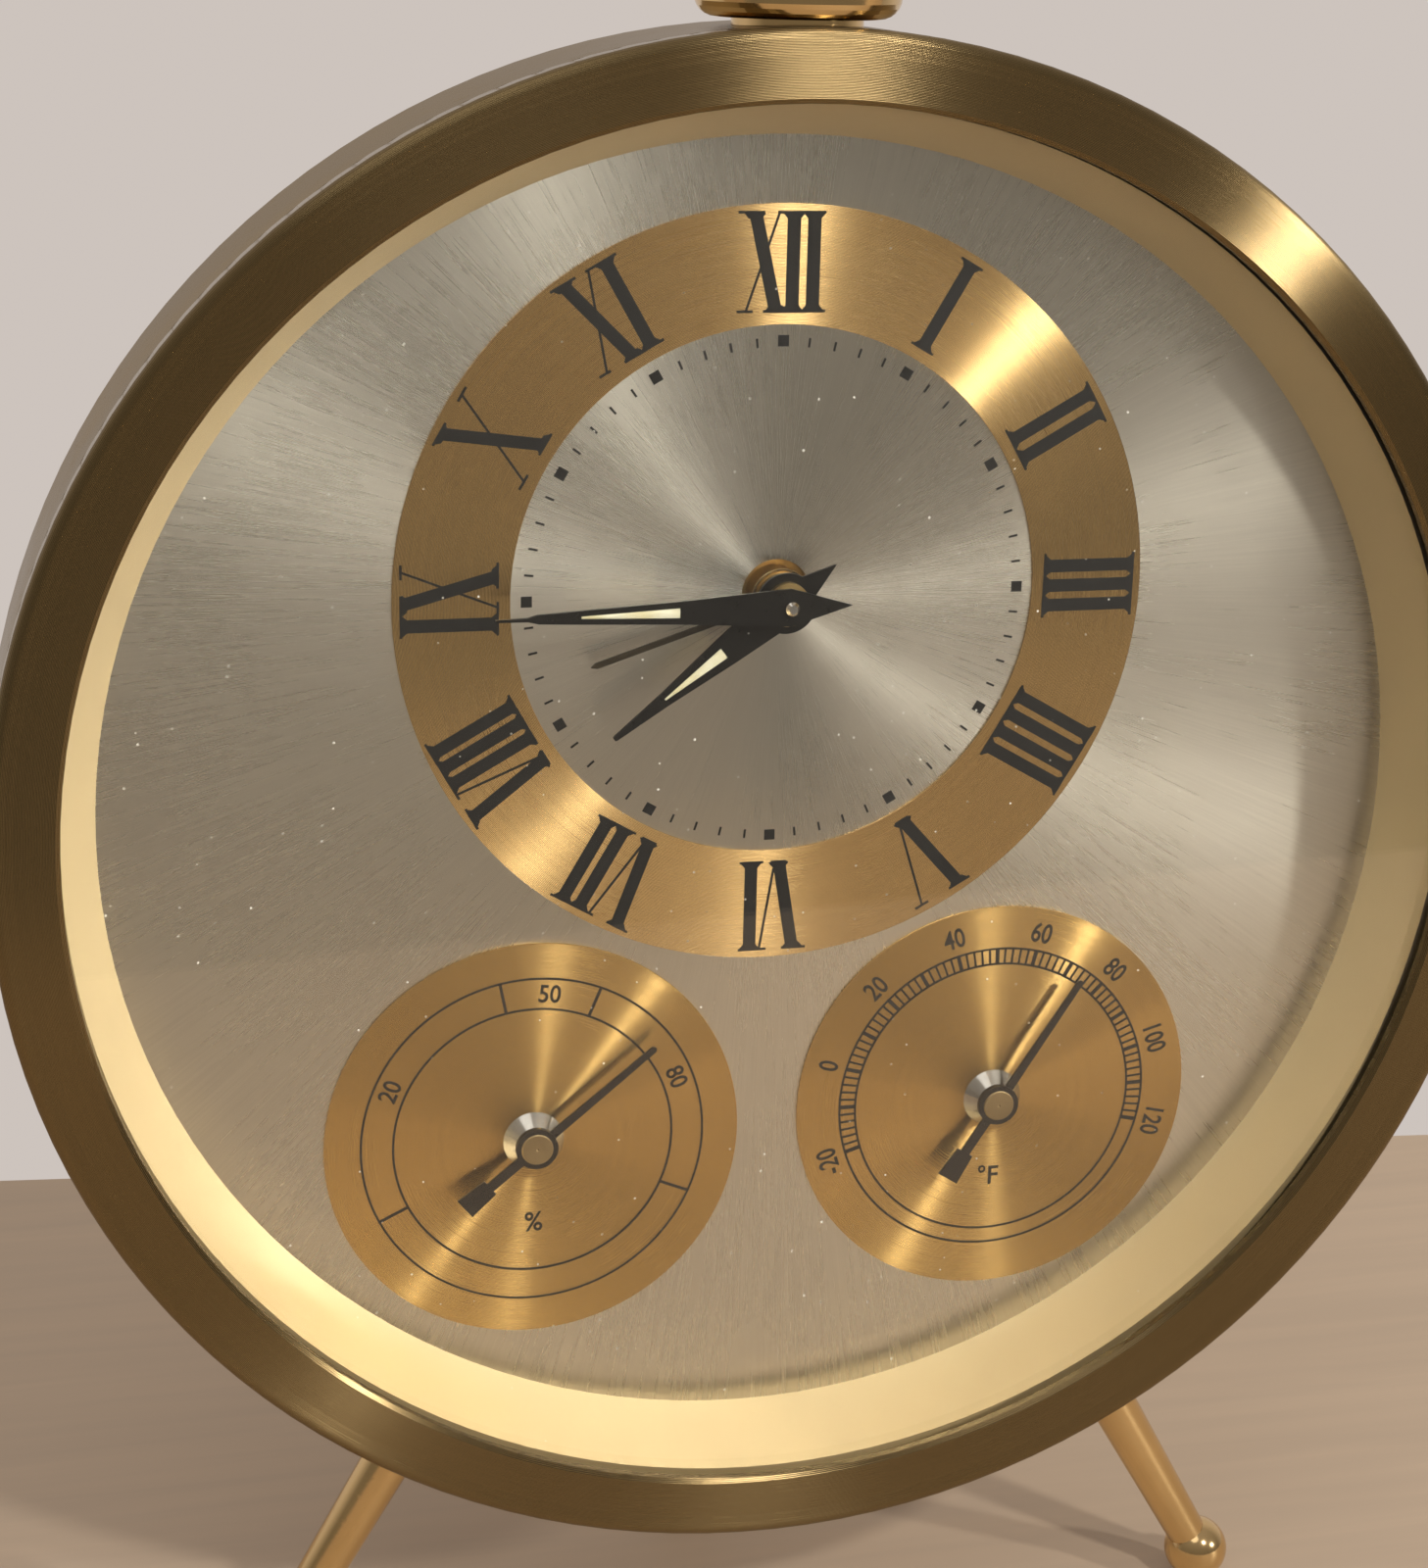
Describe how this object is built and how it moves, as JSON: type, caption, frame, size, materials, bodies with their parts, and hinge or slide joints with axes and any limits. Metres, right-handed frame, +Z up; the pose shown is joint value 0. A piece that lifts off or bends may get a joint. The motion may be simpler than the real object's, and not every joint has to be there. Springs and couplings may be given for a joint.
{
  "type": "weather station clock",
  "caption": "Round brass table clock on three ball-foot legs, with an alarm clock dial, a hygrometer and a thermometer under one glass and a push button on top.",
  "frame": {"origin": "bottom centre of the bounding box: on the table, under the middle of the clock", "axes": "+Z up, -Y out of the dial towards the viewer, +X to the right of the dial"},
  "size_m": [0.127, 0.0462, 0.1481],
  "materials": {
    "polished_brass": "polished",
    "brushed_brass": "circular brushed",
    "gold_dial": "fine turned grooves",
    "cream_gold": "satin",
    "silver_dial": "sunray brushed",
    "glass": "clear",
    "black_lacquer": "semi-gloss",
    "movement_brass": "satin",
    "steel": "satin",
    "polished_steel": "polished",
    "instrument_metal": "satin"
  },
  "bodies": {
    "case": {"case_drum": "polished_brass", "bezel_ring": "brushed_brass", "crystal": "glass", "inner_ring": "cream_gold", "dial_plate": "silver_dial", "chapter_ring": "gold_dial", "hygrometer_disc": "gold_dial", "thermometer_disc": "gold_dial", "rear_cover": "brushed_brass", "cover_screws": "movement_brass", "leg_left": "polished_brass", "leg_right": "polished_brass", "leg_rear": "polished_brass", "leg_collars": "polished_brass", "leg_nuts": "steel", "button_neck": "polished_brass", "button_spring": "steel", "hygrometer_cup": "instrument_metal", "hygrometer_coil": "instrument_metal", "thermometer_cup": "instrument_metal", "thermometer_coil": "instrument_metal", "front_plate": "movement_brass", "back_plate": "movement_brass", "movement_pillars": "movement_brass", "plate_nuts": "steel", "hairspring": "steel"},
    "alarm_button": {"alarm_button": "polished_brass"},
    "stop_lever": {"stop_lever": "steel"},
    "minute_hand": {"minute_hand": "black_lacquer", "centre_arbor": "movement_brass", "hand_pin": "polished_steel", "set_hands_knob": "polished_brass"},
    "minute_wheel": {"minute_wheel": "movement_brass"},
    "hour_hand": {"hour_hand": "black_lacquer", "hour_wheel": "movement_brass"},
    "alarm_hand": {"alarm_hand": "black_lacquer", "alarm_wheel": "movement_brass"},
    "alarm_setting": {"alarm_set_arbor": "steel", "alarm_set_knob": "polished_brass"},
    "hygrometer_pointer": {"hygrometer_pointer": "black_lacquer", "hygrometer_cap": "polished_brass"},
    "thermometer_pointer": {"thermometer_pointer": "black_lacquer", "thermometer_cap": "polished_brass"},
    "escape_wheel": {"escape_wheel": "movement_brass"},
    "fourth_wheel": {"fourth_wheel": "movement_brass"},
    "third_wheel": {"third_wheel": "movement_brass"},
    "centre_wheel": {"centre_wheel": "movement_brass"},
    "time_barrel": {"time_barrel": "movement_brass"},
    "pallet_lever": {"pallet_lever": "movement_brass"},
    "balance_wheel": {"balance_wheel": "movement_brass"},
    "regulator": {"regulator": "steel"},
    "time_winding": {"time_winding_arbor": "steel", "time_key": "polished_brass"},
    "alarm_winding": {"alarm_winding_arbor": "steel", "alarm_key": "polished_brass"},
    "time_click": {"time_click": "steel"},
    "alarm_click": {"alarm_click": "steel"},
    "alarm_barrel": {"alarm_barrel": "movement_brass"},
    "alarm_verge_wheel": {"alarm_verge_wheel": "movement_brass"},
    "alarm_hammer": {"alarm_hammer": "steel"}
  },
  "joints": [
    {"name": "button_lift", "type": "slide", "parent": "case", "child": "alarm_button", "axis": [0, 0, 1], "range_m": [0, 0.0014], "deforming": ["button_spring"]},
    {"name": "stop_lever_rock", "type": "hinge", "parent": "case", "child": "stop_lever", "pos_m": [-0.014, -0.01015, 0.11339], "axis": [0, -1, 0], "range_deg": [0, 6]},
    {"name": "hands_setting", "type": "hinge", "parent": "case", "child": "minute_hand", "pos_m": [0, -0.00265, 0.09589], "axis": [0, 1, 0], "continuous": true},
    {"name": "minute_wheel_turn", "type": "hinge", "parent": "case", "child": "minute_wheel", "pos_m": [-0.0075, -0.00965, 0.09589], "axis": [0, 1, 0], "continuous": true},
    {"name": "hour_hand_turn", "type": "hinge", "parent": "case", "child": "hour_hand", "pos_m": [0, -0.01365, 0.09589], "axis": [0, 1, 0], "continuous": true},
    {"name": "alarm_setting_turn", "type": "hinge", "parent": "case", "child": "alarm_hand", "pos_m": [0, -0.01365, 0.09589], "axis": [0, 1, 0], "continuous": true},
    {"name": "alarm_knob_turn", "type": "hinge", "parent": "case", "child": "alarm_setting", "pos_m": [-0.00733, 0.00235, 0.10462], "axis": [0, 1, 0], "continuous": true},
    {"name": "hygrometer_reading", "type": "hinge", "parent": "case", "child": "hygrometer_pointer", "pos_m": [-0.01993, -0.01265, 0.04905], "axis": [0, 1, 0], "range_deg": [-166.4, 62.6]},
    {"name": "thermometer_reading", "type": "hinge", "parent": "case", "child": "thermometer_pointer", "pos_m": [0.02087, -0.01265, 0.0499], "axis": [0, 1, 0], "range_deg": [-140, 70]},
    {"name": "escape_wheel_turn", "type": "hinge", "parent": "case", "child": "escape_wheel", "pos_m": [0.00503, -0.00265, 0.07451], "axis": [0, 1, 0], "continuous": true},
    {"name": "fourth_wheel_turn", "type": "hinge", "parent": "case", "child": "fourth_wheel", "pos_m": [-0.00093, -0.00265, 0.08113], "axis": [0, 1, 0], "continuous": true},
    {"name": "third_wheel_turn", "type": "hinge", "parent": "case", "child": "third_wheel", "pos_m": [0.00694, -0.00265, 0.08762], "axis": [0, 1, 0], "continuous": true},
    {"name": "centre_wheel_turn", "type": "hinge", "parent": "case", "child": "centre_wheel", "pos_m": [0, -0.00265, 0.09589], "axis": [0, 1, 0], "continuous": true},
    {"name": "time_barrel_turn", "type": "hinge", "parent": "case", "child": "time_barrel", "pos_m": [-0.01212, 0.00135, 0.08889], "axis": [0, 1, 0], "continuous": true},
    {"name": "pallet_rock", "type": "hinge", "parent": "case", "child": "pallet_lever", "pos_m": [0.01195, -0.00065, 0.07573], "axis": [0, -1, 0], "range_deg": [-7, 7]},
    {"name": "balance_swing", "type": "hinge", "parent": "case", "child": "balance_wheel", "pos_m": [0.01685, 0.00035, 0.07659], "axis": [0, -1, 0], "range_deg": [-150, 150]},
    {"name": "regulator_turn", "type": "hinge", "parent": "case", "child": "regulator", "pos_m": [0.01685, 0.00885, 0.07659], "axis": [0, -1, 0], "range_deg": [-20, 20]},
    {"name": "time_winding_turn", "type": "hinge", "parent": "case", "child": "time_winding", "pos_m": [-0.01212, 0.00735, 0.08889], "axis": [0, 1, 0], "continuous": true},
    {"name": "alarm_winding_turn", "type": "hinge", "parent": "case", "child": "alarm_winding", "pos_m": [0.0115, 0.00735, 0.10739], "axis": [0, 1, 0], "continuous": true},
    {"name": "time_click_lift", "type": "hinge", "parent": "case", "child": "time_click", "pos_m": [-0.02002, 0.00935, 0.08602], "axis": [0, -1, 0], "range_deg": [0, 9]},
    {"name": "alarm_click_lift", "type": "hinge", "parent": "case", "child": "alarm_click", "pos_m": [0.00361, 0.00935, 0.10452], "axis": [0, -1, 0], "range_deg": [0, 9]},
    {"name": "alarm_barrel_turn", "type": "hinge", "parent": "case", "child": "alarm_barrel", "pos_m": [0.0115, 0.00135, 0.10739], "axis": [0, 1, 0], "continuous": true},
    {"name": "alarm_verge_wheel_turn", "type": "hinge", "parent": "case", "child": "alarm_verge_wheel", "pos_m": [-0.00214, -0.00265, 0.11054], "axis": [0, 1, 0], "continuous": true},
    {"name": "hammer_swing", "type": "hinge", "parent": "case", "child": "alarm_hammer", "pos_m": [-0.00293, 0.00235, 0.11699], "axis": [0, -1, 0], "range_deg": [-6, 6]}
  ],
  "couplings": [
    {"joint": "stop_lever_rock", "follows": "button_lift", "rad_per_m": 71.434},
    {"joint": "minute_wheel_turn", "follows": "hands_setting", "ratio": -0.33333},
    {"joint": "hour_hand_turn", "follows": "hands_setting", "ratio": 0.083333},
    {"joint": "alarm_knob_turn", "follows": "alarm_setting_turn", "ratio": -3},
    {"joint": "fourth_wheel_turn", "follows": "escape_wheel_turn", "ratio": -0.1},
    {"joint": "third_wheel_turn", "follows": "escape_wheel_turn", "ratio": 0.013333},
    {"joint": "centre_wheel_turn", "follows": "escape_wheel_turn", "ratio": -0.0016667},
    {"joint": "time_barrel_turn", "follows": "escape_wheel_turn", "ratio": 0.00027778},
    {"joint": "alarm_verge_wheel_turn", "follows": "alarm_barrel_turn", "ratio": -6}
  ]
}
